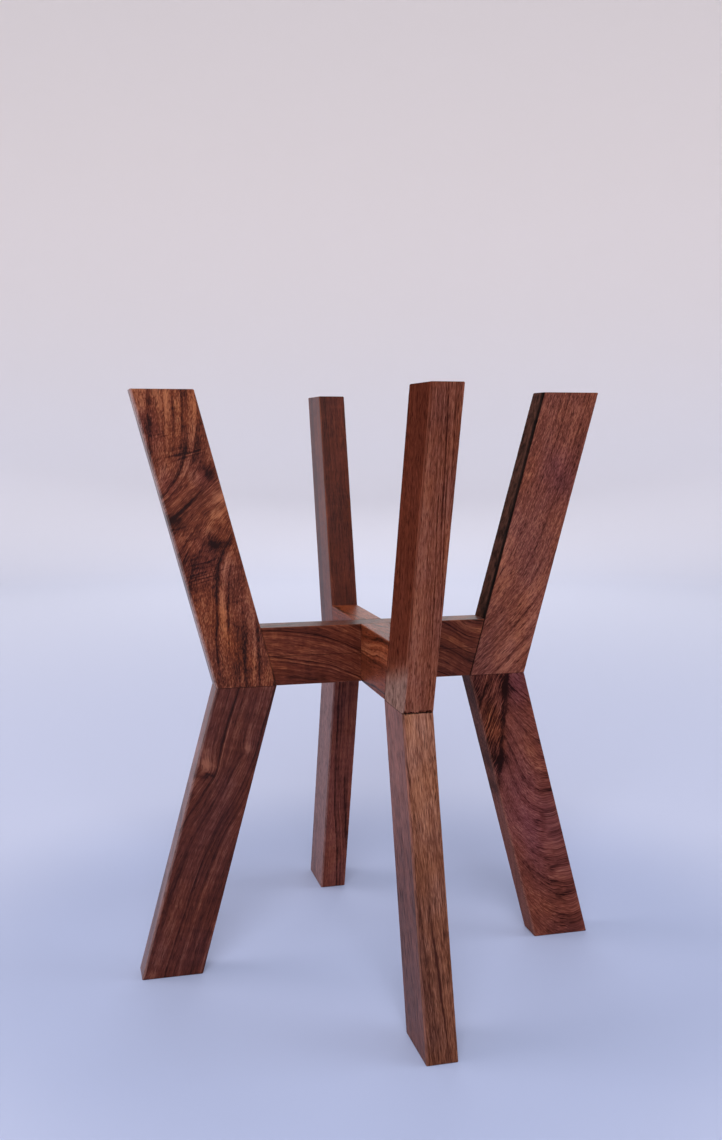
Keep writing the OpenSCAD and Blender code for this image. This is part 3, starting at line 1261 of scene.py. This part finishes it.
def makeCrossRail(node, step, notchedBelow):
    # modelled along X, then turned
    half = railThickness / 2
    spread = railHeight * legSplay / (standHeight - seamHeight)
    top = seamHeight + railHeight
    rail = addBlock(node + "_board", (-seamInner, -half, seamHeight), (seamInner, half, top))
    for sign in (-1, 1):
        pick(rail, "verts", lambda vert: vert.co.z > top - near and vert.co.x * sign > 0)
        bpy.ops.transform.translate(value=(sign * spread, 0, 0))
    pick(rail, "edges", lambda edge: abs(directionOf(edge).x) > 0.9)
    bpy.ops.mesh.subdivide(number_cuts=crossRail["rows"])

    def isLongEdge(edge):
        middle = middleOf(edge)
        onFace = abs(abs(middle.y) - half) < near
        onTopOrBottom = min(abs(middle.z - top), abs(middle.z - seamHeight)) < near
        return abs(directionOf(edge).x) > 0.9 and onFace and onTopOrBottom

    pick(rail, "edges", isLongEdge)
    bpy.ops.mesh.bevel(offset=crossRail["arris"], segments=3, profile=0.5, affect="EDGES")
    bpy.ops.object.mode_set(mode="OBJECT")
    notchHalf = half + crossRail["lapFit"]
    middleHeight = seamHeight + railHeight / 2
    notchLow, notchHigh = (seamHeight - half, middleHeight) if notchedBelow else (middleHeight, top + half)
    notch = addBlock("notch", (-notchHalf, -railThickness, notchLow), (notchHalf, railThickness, notchHigh))
    bpy.ops.object.mode_set(mode="OBJECT")
    cutAway(rail, notch)
    turnToSide(rail, step)
    for end in (step, step + 2):
        for row in ("lower", "upper"):
            cutAway(rail, boreFor(f"rail_dowel_{sides[end]}_{row}", intoLeg(end)))
    origin = Vector((0, 0, middleHeight))
    halfSize = (railHeight * 500, half * 1000)  # in mm
    look = railFigures[node]
    wood = walnut(node + "_walnut", origin, Vector((0, 0, 1)), outwardAt(step), halfSize, look)
    finishBoard(rail, node, wood)


makeCrossRail("cross_rail_left_right", 0, True)
makeCrossRail("cross_rail_front_back", 1, False)
print("cross rails made")


dowelLook = {
    "pale": (214, 182, 138),
    "dark": (176, 138, 96),
    "fleck": (128, 84, 50),
    "fleckAmount": 0.45,
    "fleckSize": (0.35, 0.35, 6),  # the small brown flecks of beech, in mm
    "fibreSize": (0.6, 0.6, 20),
    "dullness": 0.6,
    "bumpStrength": 0.3,
    "bumpDepth": 0.0001,
}


def beech(name, origin, along):
    # beech with its grain along the dowel: pale, with fine short brown flecks
    material = emptyMaterial(name)
    tree = material.node_tree
    axes = woodAxes(tree, origin, along.orthogonal().normalized(), along)
    fibre = cloud(tree, axes, dowelLook["fibreSize"], 2, 2)
    flecks = span(tree, cloud(tree, axes, dowelLook["fleckSize"], 9), 0.3, 0.6)
    dark, pale, fleck = [paint(*dowelLook[tone]) for tone in ("dark", "pale", "fleck")]
    wood = blend(tree, span(tree, fibre, -1.2, 1.2), dark, pale)
    wood = blend(tree, multiply(tree, flecks, dowelLook["fleckAmount"]), wood, fleck)
    roughness = scaleAdd(tree, fibre, 0.05, dowelLook["dullness"])
    relief = scaleAdd(tree, flecks, -1, fibre)
    woodShader(tree, wood, roughness, relief, dowelLook["bumpStrength"], dowelLook["bumpDepth"])
    return material


def dressDowels(step):
    side = sides[step]
    rows = [(f"seam_dowel_{side}_{row}", Vector((0, 0, 1))) for row in ("outer", "inner")]
    rows += [(f"rail_dowel_{side}_{row}", intoLeg(step)) for row in ("lower", "upper")]
    for node, along in rows:
        low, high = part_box(node)
        dowel = bpy.data.objects[node]
        dowel.data.materials.clear()
        dowel.data.materials.append(beech(node + "_beech", (low + high) / 2, along))


for step in range(4):
    dressDowels(step)
print("dowels dressed")
